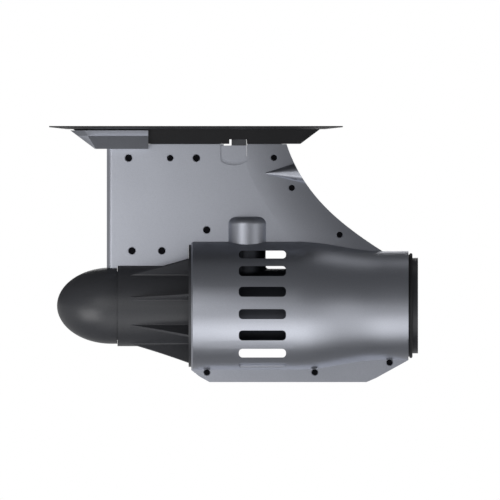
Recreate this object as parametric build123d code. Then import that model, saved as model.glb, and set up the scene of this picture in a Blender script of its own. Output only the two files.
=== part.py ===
from build123d import *
import os
from math import atan2, cos, pi, radians, sin

# Electric power fin: a water jet on a blade that slides into a fin box under a paddle board.
# Millimetres. X runs aft, Y to starboard and Z up to the board.
# The origin is the middle of the flat top face of the fin box, which is glued to the board.

# Fits
joint_gap = 0.1
slide_gap = 0.3
running_gap = 0.05

# Fin box
flange_length = 293.8
flange_width = 118.0
flange_corner = 52.0
flange_edge = 1.2
flange_thickness = 3.2
flange_bevel = 18.0
ridge_height = 14.7
ridge_front = -122.8
ridge_rear = 124.0
ridge_half_width = 22.0
ridge_draft = 1.0
ridge_end_half_width = 14.0
ridge_slope = 4 / 3
ridge_corner_top = 15.0
ridge_corner_bottom = 4.6
ridge_bottom = -(flange_thickness + ridge_height)

# Slide rail and its channel
rail_front = -46.0
rail_rear = 86.0
rail_head_half_width = 13.0
rail_head_height = 6.8
rail_web_half_thickness = 1.5
rail_web_depth = 19.4
lip_height = 4.5
lip_top = ridge_bottom + lip_height
rail_head_bottom = lip_top + slide_gap
rail_web_bottom = ridge_bottom - rail_web_depth

# Nose hood
hood_wall = 2.4
hood_rear = -47.8
hood_bottom = -22.9
hood_flare_bottom = -9.8
hood_top = -4.4
hood_flare = 4.6
hood_lean = 3.7
hood_tongue_front = -80.0
hood_tongue_rear = -55.0
hood_tongue_bottom = -42.0

# Blade
blade_half_thickness = 8.0
blade_front = -89.2
blade_top = ridge_bottom - 0.2
blade_top_rear = 90.6
nose_edge_radius = 5.0
blade_corner_length = 23.0
blade_corner_height = 5.0
trailing_edge_half_thickness = 2.9
taper_band = 45.0
edge_station_a = (104.3, -48.5)
edge_station_b = (124.6, -76.0)
edge_station_c = (150.6, -100.0)
edge_lead_in = 30.0
edge_lead_out = 60.0

# Duct
axis_z = -179.6
duct_front = -4.8
duct_rear = 212.5
duct_radius = 64.4
duct_wall = 3.0
duct_straight_end = 101.0
duct_taper_end = 187.0
duct_end_radius = 54.5
duct_lip = 1.6
edge_station_d = (duct_taper_end, axis_z + duct_end_radius - 0.4)
slot_front = 42.8
slot_rear = 90.0
slot_height = 10.0
slot_chord = 12.8
slot_corner = 3.8
slot_pitch = 20.0
slot_first = 52.4
slot_count = 7
blind_slot_floor = 17.0
blind_slot_skin = 1.0

# Keel
keel_half_thickness = 6.0
keel_depth = 12.1
keel_nose_height = axis_z - duct_radius
keel_bottom = keel_nose_height - keel_depth
keel_front_a = (3.9, keel_bottom + 5.3)
keel_front_b = (13.5, keel_bottom)
keel_rear_a = (170.5, keel_bottom)
keel_rear_b = (180.0, keel_bottom + 4.1)
keel_rear_c = (211.9, axis_z - duct_end_radius - 0.3)

# Boss and motor neck
boss_x = 51.2
boss_radius = 20.4
boss_top = -90.8
boss_rounding = 7.0
neck_radius = 18.5
neck_top = -97.0
neck_root_fillet = 3.0
neck_seal_z = neck_top - 8.0

# Cable outlet
outlet_z = -45.8
outlet_apex_x = 70.0
outlet_end_x = 112.0
outlet_apex_radius = 0.8
outlet_end_radius = 12.6
outlet_apex_rise = 1.5
gland_radius = 5.6
gland_front = 80.0
gland_rear = 98.0
gland_flange_radius = 7.0
gland_flange_length = 3.0
cable_radius = 4.0
splice_radius = 5.6
splice_front = 72.0
splice_rim = 2.4
splice_crimp = 0.8
lead_radius = 2.5
lead_bend = 16.0

# Housing screws: side view places, the thicker ones first
long_screw_places = [(-67.4, -32.0), (0.4, -32.0), (10.8, -103.9), (-64.0, -124.8), (-34.1, -124.8)]
short_screw_places = [(-25.8, -32.0), (78.0, -31.7), (95.8, -61.8), (143.7, -108.7),
                      (11.0, keel_bottom + 9.7), (118.8, keel_bottom + 9.8),
                      (193.6, axis_z - duct_end_radius - 2.3)]
long_head_radius = 3.5
long_shank_radius = 2.0
long_recess_radius = 4.1
short_head_radius = 3.0
short_shank_radius = 1.5
short_recess_radius = 3.6
head_seat = 2.4
head_height = 2.2
socket_depth = 1.3
socket_share = 0.45
long_insert_length = 4.0
short_insert_length = 3.0
insert_wall = 1.0
insert_start = rail_web_half_thickness + joint_gap

# Latch
latch_front = 25.3
latch_rear = 50.8
latch_top = -19.5
latch_straight_bottom = -30.4
latch_bottom = -34.4
latch_travel = 4.5
latch_side_gap = 0.8
pad_inner = 4.9
pocket_floor = 4.6
stem_front = 28.0
stem_bottom = -25.5
catch_front = 35.5
catch_rear = latch_rear - joint_gap
catch_top = rail_head_bottom - joint_gap
catch_ramp = 0.6
notch_front = 33.4
spring_radius = 3.0
spring_wire = 0.4
spring_turns = 5
spring_seat = -37.0
spring_guide = 3.0
spring_x = 39.5

# Motor pod
can_radius = 36.9
can_wall = 2.4
can_front = -76.5
can_rear = 88.0
cap_front = -72.0
cap_rear = -62.0
cap_skin = 2.0
cap_recess = 3.0
cap_rim = 4.0
end_cap_length = 4.0
end_cap_spigot = 8.0
end_cap_rim = 6.0
cap_seal_x = can_rear - 3.0
bearing_width = 7.0
bearing_radius = 11.0
bearing_wall = 4.0
bearing_race = 1.5
bearing_shield_inset = 0.5
shaft_radius = 5.0
shaft_room = 1.0
seal_radius = 9.0
seal_length = 3.4
seal_wall = 1.0
seal_lip = 1.4
seal_cup_depth = 1.6
ring_seal_section = 0.9

# Motor
stator_front = -34.0
stator_rear = 30.0
stator_bore = 20.1
air_gap = 0.7
stator_slots = 12
stator_slot_width = 5.6
stator_slot_opening = 1.6
stator_back_iron = 4.4
stator_slot_floor = can_radius - can_wall - joint_gap - stator_back_iron
stator_slot_mouth = stator_bore + 2.4
end_turn_length = 9.0
magnet_thickness = 3.0
magnet_count = 8
magnet_span = 38.0
board_x = boss_x + lead_radius + joint_gap
board_thickness = 1.6
board_hole = 9.5
capacitor_radius = 4.0
capacitor_length = 14.0
capacitor_circle = 22.0
capacitor_count = 6
capacitor_start_angle = 30.0

# Nose cone and intake guard
nose_tip = -139.0
nose_centre = -84.5
nose_radius = can_radius + 1.3
nose_rear = -78.7
nose_wall = 2.6
nose_lip = 2.0
nose_seal_x = (can_front + cap_front) / 2
guard_hub_wall = 3.6
guard_hub_radius = can_radius + joint_gap + guard_hub_wall
guard_hub_front = -78.5
guard_hub_rear = 6.0
guard_hub_chamfer = 3.2
guard_ring_front = -7.4
guard_ring_rear = 4.0
guard_ring_wall = 2.4
guard_vane_front = -69.0
guard_vane_thickness = 2.2
guard_vane_fillet = 1.5
guard_vane_sink = 1.0
guard_vane_inset = 0.6
guard_vane_pitch = 40.0
guard_vane_count = 8
guard_vane_sag = 1.2
blade_end = guard_ring_front - 2 * joint_gap

# Impeller
impeller_front = can_rear + end_cap_length + 0.4
impeller_length = 35.6
impeller_rear = impeller_front + impeller_length
impeller_hub_front = can_radius - 0.7
impeller_hub_rear = 29.0
impeller_bore = 4.5
impeller_blades = 5
impeller_pitch = 150.0
impeller_blade_length = 23.0
impeller_blade_thickness = 3.4
impeller_root_section = 24.0
impeller_middle_section = 44.0
impeller_rim = 8.0
impeller_web = 4.0
hub_core_radius = 14.0
tip_gap = 0.8
shaft_shoulder = impeller_front + 4.0
pin_radius = 1.5
pin_half_length = 9.0
pin_x = impeller_front + 7.1
nut_flats = 13.0
nut_length = 6.0
nut_front = impeller_rear - 8.0
nut_room = 3.3
thread_radius = 3.8
thread_end = nut_front + nut_length + 1.5

# Diffuser and nozzle
diffuser_front = impeller_rear + 4.0
diffuser_hub = impeller_hub_rear
diffuser_tip = 209.0
diffuser_tip_radius = 3.0
diffuser_recess_depth = 12.0
diffuser_recess_radius = 16.0
diffuser_ring_front = 188.0
diffuser_ring_rear = 199.0
diffuser_ring_wall = 2.6
diffuser_vane_front = 160.0
diffuser_vanes = 7
diffuser_vane_thickness = 2.6
nozzle_rear = 222.0
nozzle_spigot_front = 216.3
nozzle_spigot_radius = 47.8
nozzle_bore = 44.5
nozzle_neck_radius = 51.0
bead_x = 214.9
bead_section = 1.6
bead_radius = 52.5

# Planes: the side view through the origin, and the same through the shaft axis
side = Plane.XZ
shaft_side = Plane(origin=(0, 0, axis_z), x_dir=(1, 0, 0), z_dir=(0, -1, 0))
shaft_axis = Axis((0, 0, axis_z), (1, 0, 0))
bore_radius = duct_radius - duct_wall
bore_end_radius = duct_end_radius - duct_wall
far = 400.0


def rod(start, end, radius):
    """A round bar on the shaft axis between two stations."""
    bar = Cylinder(radius, end - start, align=(Align.CENTER, Align.CENTER, Align.MIN))
    return Pos(start, 0, axis_z) * Rot(0, 90, 0) * bar


def ring(start, end, outer, inner):
    """A round tube on the shaft axis between two stations."""
    return rod(start, end, outer) - rod(start - 1, end + 1, inner)


def face_on(plane, *lines):
    """The face inside a closed outline of lines and curves drawn on a plane."""
    return make_face([edge for line in lines for edge in (plane * line).edges()])


def turned(*lines):
    """The solid of a closed outline of (station, radius) lines turned about the shaft axis."""
    return revolve(face_on(shaft_side, *lines), shaft_axis)


def turned_points(points):
    """A turned solid whose outline has only straight sides."""
    return revolve(make_face(shaft_side * Polyline(points, close=True)), shaft_axis)


def side_plate(face, half_thickness):
    """A flat plate, centred on the mid-plane, of a face drawn in the side view."""
    return extrude(face, amount=half_thickness, both=True)


def side_box(x_low, x_high, z_low, z_high, half_width):
    """A block centred on the mid-plane."""
    middle = ((x_low + x_high) / 2, 0, (z_low + z_high) / 2)
    return Pos(*middle) * Box(x_high - x_low, 2 * half_width, z_high - z_low)


def cross_rod(place, y_low, y_high, radius):
    """A round bar across the fin at a side view place."""
    bar = Cylinder(radius, y_high - y_low, align=(Align.CENTER, Align.CENTER, Align.MIN))
    return Pos(place[0], y_low, place[1]) * Rot(-90, 0, 0) * bar


def about_shaft(shape, angle):
    """A shape turned about the shaft axis, from the port side downwards."""
    return Pos(0, 0, axis_z) * Rot(angle, 0, 0) * Pos(0, 0, -axis_z) * shape


def torus_on_shaft(x, outer, section):
    """A round-section ring seal on the shaft axis."""
    return Pos(x, 0, axis_z) * Rot(0, 90, 0) * Torus(outer - section, section)


# Fin box

def ridge_section(z, end_grow, side_grow):
    """The ridge's plan outline at a height: a box with its four corners cut."""
    depth = -flange_thickness - z
    share = depth / ridge_height
    end_shift = ridge_slope * depth
    slant = (1 + ridge_slope ** 2) ** 0.5
    front = ridge_front + end_shift - end_grow * slant
    rear = ridge_rear - end_shift + end_grow * slant
    half = ridge_half_width - ridge_draft * share + side_grow
    end_half = ridge_end_half_width + side_grow
    corner = ridge_corner_top + (ridge_corner_bottom - ridge_corner_top) * share
    outline = [(front, -end_half), (front + corner, -half), (rear - corner, -half), (rear, -end_half),
               (rear, end_half), (rear - corner, half), (front + corner, half), (front, end_half)]
    return Pos(0, 0, z) * make_face(Polyline(outline, close=True))


def ridge_block(z_high, z_low, grow):
    """The ridge, or a copy grown on all sides, between two heights."""
    return loft([ridge_section(z_high, grow, grow), ridge_section(z_low, grow, grow)], ruled=True)


def fin_box():
    edge = RectangleRounded(flange_length, flange_width, flange_corner)
    inner = RectangleRounded(flange_length - 2 * flange_bevel, flange_width - 2 * flange_bevel,
                             flange_corner - flange_bevel)
    box = extrude(edge, amount=-flange_edge)
    box += loft([Pos(0, 0, -flange_edge) * edge, Pos(0, 0, -flange_thickness) * inner], ruled=True)
    box += ridge_block(-flange_thickness, ridge_bottom, 0)
    head_top = rail_head_bottom + rail_head_height + slide_gap
    rear = rail_rear + slide_gap
    box -= side_box(-far, rear, lip_top, head_top, rail_head_half_width + slide_gap)
    box -= side_box(-far, rear, ridge_bottom - 1, lip_top, rail_web_half_thickness + slide_gap)
    return box - side_plate(notch_face(), ridge_half_width + 1)


def catch_rear_at(z):
    """Where the latch catch's sloping rear face stands at a height."""
    return catch_rear - catch_ramp * (z - latch_top) / (catch_top - latch_top)


def notch_face():
    """The notch for the latch's catch, whose rear wall follows the slope of the catch."""
    low = ridge_bottom - 1
    outline = [(notch_front, low), (notch_front, lip_top), (catch_rear_at(lip_top) + slide_gap, lip_top),
               (catch_rear_at(low) + slide_gap, low)]
    return side * make_face(Polyline(outline, close=True))


def slide_rail():
    rail = side_box(rail_front, rail_rear, rail_head_bottom, rail_head_bottom + rail_head_height,
                    rail_head_half_width)
    rail += side_box(rail_front, rail_rear, rail_web_bottom, rail_head_bottom, rail_web_half_thickness)
    rail -= side_box(latch_front - latch_side_gap, latch_rear + latch_side_gap, rail_web_bottom - 1,
                     rail_head_bottom, blade_half_thickness)
    for place in long_screw_places:
        rail -= cross_rod(place, -10, 10, long_shank_radius + joint_gap)
    for place in short_screw_places:
        rail -= cross_rod(place, -10, 10, short_shank_radius + joint_gap)
    return rail


def nose_hood():
    outer_grow = hood_wall + slide_gap
    hood = ridge_block(hood_top, hood_bottom, outer_grow)
    hood += loft([ridge_section(hood_top, outer_grow, outer_grow + hood_flare),
                  ridge_section(hood_flare_bottom, outer_grow, outer_grow)], ruled=True)
    hood += loft([ridge_section(hood_flare_bottom, outer_grow, outer_grow),
                  ridge_section(hood_bottom, outer_grow, outer_grow + hood_lean)], ruled=True)
    hood -= side_box(hood_rear, far, hood_bottom - 1, 0, far)
    hood -= ridge_block(-flange_thickness, ridge_bottom - slide_gap, slide_gap)
    hood += side_box(hood_tongue_front, hood_tongue_rear, hood_tongue_bottom, hood_bottom,
                     rail_web_half_thickness)
    return hood - cross_rod(long_screw_places[0], -10, 10, long_shank_radius + joint_gap)


# Housing

def trailing_edge():
    """The curve of the blade's trailing edge, run on past the blade at both ends."""
    top = (blade_top_rear, blade_top)
    curve = Spline(top, edge_station_a, edge_station_b, edge_station_c, edge_station_d)
    start = curve % 0
    end = curve % 1
    lead_in = Line((top[0] - edge_lead_in * start.X, top[1] - edge_lead_in * start.Y), top)
    lead_out = Line(edge_station_d, (edge_station_d[0] + edge_lead_out * end.X,
                                     edge_station_d[1] + edge_lead_out * end.Y))
    return Wire([lead_in, curve, lead_out])


def blade_face():
    """The blade's side outline, run down into the duct, where the bore trims it."""
    foot = axis_z + nose_radius - 2
    curve = Spline((blade_top_rear, blade_top), edge_station_a, edge_station_b, edge_station_c,
                   edge_station_d)
    corner_z = axis_z + guard_hub_radius + blade_corner_height
    edges = Polyline(edge_station_d, (edge_station_d[0], corner_z), (blade_end, corner_z),
                     (blade_end - blade_corner_length, foot), (blade_front, foot),
                     (blade_front, hood_bottom), (hood_rear, hood_bottom), (hood_rear, blade_top),
                     (blade_top_rear, blade_top))
    return face_on(side, curve, edges)


def taper_tool(side_sign):
    """The band along the trailing edge where one side of the blade thins to the edge."""
    path = side * trailing_edge()
    start = path @ 0
    along = path % 0
    inboard = Vector(along.Z, 0, -along.X)
    if inboard.X > 0:
        inboard = inboard * -1
    plane = Plane(origin=start, x_dir=inboard, z_dir=along)
    across = 1 if plane.y_dir.Y * side_sign > 0 else -1
    thick = blade_half_thickness
    thin = trailing_edge_half_thickness
    middle = thick - (thick - thin) / 4
    arc = ThreePointArc((0, across * thin), (taper_band / 2, across * middle), (taper_band, across * thick))
    rest = Polyline((taper_band, across * thick), (taper_band, across * 2 * thick),
                    (-thick, across * 2 * thick), (-thick, across * thin), (0, across * thin))
    return sweep(face_on(plane, arc, rest), path=path)


def outlet_cone(side_sign):
    """The half-cone bulge round the cable on one side of the blade."""
    surface = side_sign * (blade_half_thickness - outlet_apex_radius)
    apex = Plane(origin=(outlet_apex_x, surface, outlet_z - outlet_apex_rise), z_dir=(1, 0, 0))
    end = Plane(origin=(outlet_end_x, 0, outlet_z), z_dir=(1, 0, 0))
    return loft([apex * Circle(outlet_apex_radius), end * Circle(outlet_end_radius)], ruled=True)


def duct_outline(inset):
    """The duct's outer line from front to rear, moved inwards by an inset."""
    straight = Line((guard_ring_front - joint_gap, duct_radius - inset),
                    (duct_straight_end, duct_radius - inset))
    curve = Spline((duct_straight_end, duct_radius - inset), (duct_taper_end, duct_end_radius - inset),
                   tangents=((1, 0), (1, 0)))
    tail = Line((duct_taper_end, duct_end_radius - inset), (duct_rear + 1, duct_end_radius - inset))
    return [straight, curve, tail]


def duct_core(inset):
    """The solid inside the duct's line at an inset: the whole duct at 0, its bore at the wall."""
    start = guard_ring_front - joint_gap
    close = Polyline((duct_rear + 1, duct_end_radius - inset), (duct_rear + 1, 0), (start, 0),
                     (start, duct_radius - inset))
    return turned(*duct_outline(inset), close)


def keel_face():
    outline = [(duct_front, axis_z), (duct_front, keel_nose_height), keel_front_a, keel_front_b,
               keel_rear_a, keel_rear_b, keel_rear_c, (keel_rear_c[0], axis_z)]
    return side * make_face(Polyline(outline, close=True))


def slot_face(index):
    """A slot's side outline. The slots stand evenly round the duct and narrow where it turns away."""
    angle = radians(slot_first - index * slot_pitch)
    height = min(slot_height, slot_chord * cos(angle))
    outline = RectangleRounded(slot_rear - slot_front, height, min(slot_corner, 0.45 * height))
    return side * (Pos((slot_front + slot_rear) / 2, axis_z + duct_radius * sin(angle)) * outline)


def duct_slot(index):
    """One slot, cut straight across both sides of the duct. The lowest is a blind recess."""
    slot = side_plate(slot_face(index), duct_radius + 1)
    if index == slot_count - 1:
        slot -= side_plate(slot_face(index), blind_slot_floor)
        slot -= rod(slot_front - 1, slot_rear + 1, bore_radius + blind_slot_skin)
    return slot


def latch_outline(grow, drop, top):
    """The latch pad's side outline: straight sides and a round bottom, with room round it."""
    low = latch_straight_bottom - drop
    front = latch_front - grow
    rear = latch_rear + grow
    middle = ((front + rear) / 2, latch_bottom - drop)
    arc = ThreePointArc((front, low), middle, (rear, low))
    sides = Polyline((rear, low), (rear, top), (front, top), (front, low))
    return face_on(side, arc, sides)


def lead_path():
    """The power lead's line: in from the splice, round one bend and down the neck."""
    end_z = axis_z + can_radius - can_wall - 2 * lead_radius
    return side * FilletPolyline((splice_front, outlet_z), (boss_x, outlet_z), (boss_x, end_z),
                                 radius=lead_bend)


def lead_tube(radius):
    path = lead_path()
    section = Plane(origin=path @ 0, z_dir=path % 0) * Circle(radius)
    return sweep(section, path=path)


def screw_cuts():
    """Holes for the housing screws: recess and shank to port, insert pocket to starboard."""
    cuts = []
    for place in long_screw_places:
        cuts.append(cross_rod(place, -far, -head_seat, long_recess_radius))
        cuts.append(cross_rod(place, -head_seat - 1, insert_start, long_shank_radius + joint_gap))
        cuts.append(cross_rod(place, 0, insert_start + long_insert_length,
                              long_shank_radius + insert_wall))
    for place in short_screw_places:
        cuts.append(cross_rod(place, -far, -head_seat, short_recess_radius))
        cuts.append(cross_rod(place, -head_seat - 1, insert_start, short_shank_radius + joint_gap))
        cuts.append(cross_rod(place, 0, insert_start + short_insert_length,
                              short_shank_radius + insert_wall))
    return cuts


def housing():
    """Both halves in one: blade, cable outlet, boss, duct and keel, with every hole cut."""
    blade = side_plate(blade_face(), blade_half_thickness)
    front_edges = blade.edges().filter_by(Axis.Z).group_by(Axis.X)[0]
    blade = fillet(front_edges, nose_edge_radius)
    bulge_room = side_plate(blade_face(), 3 * blade_half_thickness)
    for side_sign in (-1, 1):
        blade -= taper_tool(side_sign)
    for side_sign in (-1, 1):
        blade += outlet_cone(side_sign) & bulge_room
    boss = Pos(boss_x, 0, boss_top) * Cylinder(boss_radius, boss_top - axis_z,
                                               align=(Align.CENTER, Align.CENTER, Align.MAX))
    boss = fillet(boss.edges().group_by(Axis.Z)[-1], boss_rounding)
    duct = duct_core(0) & rod(duct_front, duct_rear, duct_radius + 1)
    duct = chamfer(duct.edges().group_by(Axis.X)[0], duct_lip)
    body = blade + boss + duct + side_plate(keel_face(), keel_half_thickness)
    body -= duct_core(duct_wall)
    body -= rod(blade_front - 5, nose_rear, nose_radius + joint_gap)
    body -= rod(nose_rear, guard_ring_front, guard_hub_radius + joint_gap)
    body -= Pos(boss_x, 0, neck_top) * Cylinder(neck_radius + joint_gap, neck_top - axis_z,
                                                align=(Align.CENTER, Align.CENTER, Align.MAX))
    for index in range(slot_count):
        body -= duct_slot(index)
    body -= side_box(rail_front - joint_gap, rail_rear + joint_gap, rail_web_bottom - joint_gap, 0,
                     rail_web_half_thickness + joint_gap)
    body -= side_box(hood_tongue_front - joint_gap, hood_tongue_rear + joint_gap,
                     hood_tongue_bottom - joint_gap, 0, rail_web_half_thickness + joint_gap)
    body -= latch_cuts()
    body -= lead_tube(lead_radius + joint_gap)
    body -= gland_solid(joint_gap)
    body -= outlet_bar(splice_front - joint_gap, gland_front, splice_radius + joint_gap)
    body -= outlet_bar(gland_rear - 1, outlet_end_x, gland_radius + joint_gap)
    for cut in screw_cuts():
        body -= cut
    return body


def latch_cuts():
    """The pocket for the pads on both sides, the window for the stem and the spring's bore."""
    sink = latch_travel + slide_gap
    pocket = side_plate(latch_outline(latch_side_gap, sink, 0), 2 * blade_half_thickness)
    pocket -= side_box(-far, far, -far, far, pocket_floor)
    window = side_box(stem_front - slide_gap, catch_rear + slide_gap, stem_bottom - sink, 0,
                      pocket_floor + 1)
    bore = Pos(spring_x, 0, spring_seat) * Cylinder(spring_radius + 2 * spring_wire,
                                                    stem_bottom - spring_seat,
                                                    align=(Align.CENTER, Align.CENTER, Align.MIN))
    return pocket + window + bore


def half(body, side_sign):
    """One half of the housing: port for -1, starboard for 1."""
    return body & Pos(0, side_sign * far / 2, -far / 2) * Box(2 * far, far, 2 * far)


def screws(places, shank_radius, head_radius, insert_length):
    """Socket head screws from the port side, each a separate solid."""
    solids = []
    for place in places:
        screw = cross_rod(place, -head_seat - head_height, -head_seat, head_radius)
        screw += cross_rod(place, -head_seat, insert_start + insert_length, shank_radius)
        screw -= cross_rod(place, -head_seat - head_height, -head_seat - head_height + socket_depth,
                           socket_share * head_radius)
        solids.append(screw)
    return solids


def screw_inserts():
    """Threaded sleeves in the starboard half."""
    solids = []
    for places, shank, length in ((long_screw_places, long_shank_radius, long_insert_length),
                                  (short_screw_places, short_shank_radius, short_insert_length)):
        for place in places:
            sleeve = cross_rod(place, insert_start, insert_start + length, shank + insert_wall)
            solids.append(sleeve - cross_rod(place, 0, far, shank))
    return solids


# Latch

def latch_block():
    """The dark catch with the stem that joins both pads through the blade."""
    catch = side * make_face(Polyline((catch_front, latch_top), (catch_front, catch_top),
                                      (catch_rear - catch_ramp, catch_top), (catch_rear, latch_top),
                                      close=True))
    block = side_plate(catch, blade_half_thickness)
    block += side_box(stem_front, catch_rear, stem_bottom, latch_top, pad_inner)
    guide = Pos(spring_x, 0, stem_bottom) * Cylinder(spring_radius - 2 * spring_wire, spring_guide,
                                                     align=(Align.CENTER, Align.CENTER, Align.MAX))
    return block + guide


def latch_pad(side_sign):
    """One pressed pad, flush with the blade."""
    pad = side_plate(latch_outline(0, 0, latch_top), blade_half_thickness)
    keep = Pos(0, side_sign * (pad_inner + far / 2), 0) * Box(2 * far, far, 2 * far)
    return pad & keep


def latch_spring():
    """The return spring between the blade and the stem."""
    height = stem_bottom - spring_seat - 2 * spring_wire - slide_gap
    coil = Helix(pitch=height / spring_turns, height=height, radius=spring_radius)
    section = Plane(origin=coil @ 0, z_dir=coil % 0) * RegularPolygon(spring_wire, 6)
    return Pos(spring_x, 0, spring_seat + spring_wire) * sweep(section, path=coil)


# Cable outlet

def outlet_bar(start, end, radius):
    """A round bar on the cable outlet's axis."""
    return extrude(Plane(origin=(start, 0, outlet_z), z_dir=(1, 0, 0)) * Circle(radius), amount=end - start)


def gland_solid(grow):
    """The gland's outside: a sleeve with a flange near the blade's edge."""
    sleeve = outlet_bar(gland_front - grow, gland_rear + grow, gland_radius + grow)
    return sleeve + outlet_bar(gland_rear - gland_flange_length - grow, gland_rear + grow,
                               gland_flange_radius + grow)


def cable_gland():
    return gland_solid(0) - outlet_bar(gland_front - 1, gland_rear + 1, cable_radius)


def lead_splice():
    """The crimped barrel that joins the incoming cable to the power lead."""
    end = gland_front - 2 * joint_gap
    barrel = outlet_bar(splice_front, end, splice_radius - splice_crimp)
    barrel += outlet_bar(splice_front, splice_front + splice_rim, splice_radius)
    return barrel + outlet_bar(end - splice_rim, end, splice_radius)


def power_lead():
    return lead_tube(lead_radius)


# Motor pod

def motor_can():
    """The can with the round neck that hangs it from the boss."""
    neck = Pos(boss_x, 0, neck_top) * Cylinder(neck_radius, neck_top - axis_z,
                                               align=(Align.CENTER, Align.CENTER, Align.MAX))
    neck -= Pos(boss_x, 0, neck_seal_z) * Torus(neck_radius - ring_seal_section + joint_gap,
                                                ring_seal_section + joint_gap)
    barrel = rod(can_front, can_rear, can_radius)
    can = barrel + neck
    seam = can.edges().filter_by(lambda edge: edge.geom_type not in (GeomType.LINE, GeomType.CIRCLE))
    seam = [edge for edge in seam if abs(edge.center().Z - axis_z) > 0.5 * can_radius]
    can = fillet(seam, neck_root_fillet)
    can -= rod(can_front - 1, can_rear + 1, can_radius - can_wall)
    return can - Pos(boss_x, 0, neck_top + 1) * Cylinder(lead_radius + joint_gap, neck_top - axis_z,
                                                         align=(Align.CENTER, Align.CENTER, Align.MAX))


def neck_seal():
    return Pos(boss_x, 0, neck_seal_z) * Torus(neck_radius - ring_seal_section, ring_seal_section)


def front_cap():
    """The front cap: a disc in the can with the bearing's seat behind and a recess in front."""
    inner = can_radius - can_wall - joint_gap
    cap = rod(cap_front, cap_rear, inner)
    cap -= rod(cap_front + cap_skin, cap_rear + 1, shaft_radius + shaft_room)
    cap -= rod(cap_rear - bearing_width, cap_rear + 1, bearing_radius + joint_gap)
    return cap - ring(cap_front - 1, cap_front + cap_recess, inner - cap_rim, bearing_radius + bearing_wall)


def end_cap():
    """The rear cap: a spigot in the can, a flange behind it, the bearing's and the seal's seats."""
    inner = can_radius - can_wall - joint_gap
    start = can_rear - end_cap_spigot
    seat_end = start + bearing_width
    cap = rod(start, can_rear, inner)
    cap += rod(can_rear, can_rear + end_cap_length, can_radius)
    cap -= rod(start - 1, seat_end, bearing_radius + joint_gap)
    cap -= rod(start, can_rear + end_cap_length + 1, seal_radius)
    cap -= ring(start - 1, (start + can_rear) / 2, inner - end_cap_rim, bearing_radius + bearing_wall)
    return cap - torus_on_shaft(cap_seal_x, inner + joint_gap, ring_seal_section + joint_gap)


def bearing(start):
    """A sealed ball bearing."""
    end = start + bearing_width
    outer = bearing_radius - bearing_race
    inner = shaft_radius + bearing_race
    body = ring(start, end, bearing_radius, shaft_radius + running_gap)
    body -= ring(start - 1, start + bearing_shield_inset, outer, inner)
    return body - ring(end - bearing_shield_inset, end + 1, outer, inner)


def shaft_seal():
    """The rotary seal: a cup whose lip runs on the shaft."""
    start = can_rear + end_cap_length - seal_length
    seal = ring(start, start + seal_length, seal_radius, shaft_radius + running_gap)
    return seal - ring(start - 1, start + seal_cup_depth, seal_radius - seal_wall, shaft_radius + seal_lip)


def stator_core():
    core = ring(stator_front, stator_rear, can_radius - can_wall - joint_gap, stator_bore)
    middle = (stator_front + stator_rear) / 2
    length = stator_rear - stator_front + 2
    depth = stator_slot_floor - stator_slot_mouth
    slot = Pos(middle, 0, axis_z + stator_slot_mouth + depth / 2) * Box(length, stator_slot_width, depth)
    mouth = Pos(middle, 0, axis_z + stator_slot_mouth) * Box(length, stator_slot_opening, 2 * depth)
    for index in range(stator_slots):
        core -= about_shaft(slot + mouth, index * 360 / stator_slots)
    return core


def stator_windings():
    """Copper in the slots, joined by the end turns at both ends."""
    floor = stator_slot_floor - joint_gap
    mouth = stator_slot_mouth + joint_gap
    coils = ring(stator_front - end_turn_length, stator_front - joint_gap, floor, mouth)
    coils += ring(stator_rear + joint_gap, stator_rear + end_turn_length, floor, mouth)
    middle = (stator_front + stator_rear) / 2
    bar = Pos(middle, 0, axis_z + (floor + mouth) / 2) * Box(stator_rear - stator_front + 2,
                                                          stator_slot_width - 2 * joint_gap,
                                                          floor - mouth - 2 * joint_gap)
    for index in range(stator_slots):
        coils += about_shaft(bar, index * 360 / stator_slots)
    return coils


def rotor_core():
    outer = stator_bore - air_gap - magnet_thickness
    return ring(stator_front, stator_rear, outer, shaft_radius)


def rotor_magnets():
    """Arc magnets round the core, each a separate solid."""
    outer = stator_bore - air_gap
    sector = ring(stator_front + 1, stator_rear - 1, outer, outer - magnet_thickness)
    reach = 2 * outer
    spread = reach * sin(radians(magnet_span / 2)) / cos(radians(magnet_span / 2))
    wedge = Plane(origin=(stator_front, 0, axis_z), z_dir=(1, 0, 0), x_dir=(0, 1, 0))
    cut = extrude(wedge * make_face(Polyline((0, 0), (spread, reach), (-spread, reach), close=True)),
                  amount=stator_rear - stator_front)
    magnet = sector & cut
    return [about_shaft(magnet, index * 360 / magnet_count) for index in range(magnet_count)]


def control_board():
    return ring(board_x, board_x + board_thickness, can_radius - can_wall - joint_gap, board_hole)


def board_capacitors():
    start = board_x + board_thickness
    can = Pos(0, 0, capacitor_circle) * rod(start, start + capacitor_length, capacitor_radius)
    pitch = 360 / capacitor_count
    return [about_shaft(can, capacitor_start_angle + index * pitch) for index in range(capacitor_count)]


# Nose cone and intake guard

def nose_profile(inset, rear):
    """Half of the nose's ellipse and its short straight part, closed on the axis."""
    length = nose_centre - nose_tip - inset
    height = nose_radius - inset
    tip = nose_centre - length
    curve = Bezier((nose_centre, height), (tip, height), (tip, 0), weights=[1, 0.5 ** 0.5, 1])
    close = Polyline((nose_centre - length, 0), (rear, 0), (rear, height), (nose_centre, height))
    return turned(curve, close)


def nose_cone():
    """The hollow nose with a spigot that plugs into the can."""
    spigot = can_radius - can_wall - joint_gap
    cone = nose_profile(0, nose_rear)
    cone += rod(nose_rear - 1, cap_front - joint_gap, spigot)
    cone -= nose_profile(nose_wall, nose_rear - nose_lip)
    cone -= rod(nose_rear - nose_lip - 1, cap_front + 1, spigot - nose_wall)
    return cone - torus_on_shaft(nose_seal_x, spigot + joint_gap, ring_seal_section + joint_gap)


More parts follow.
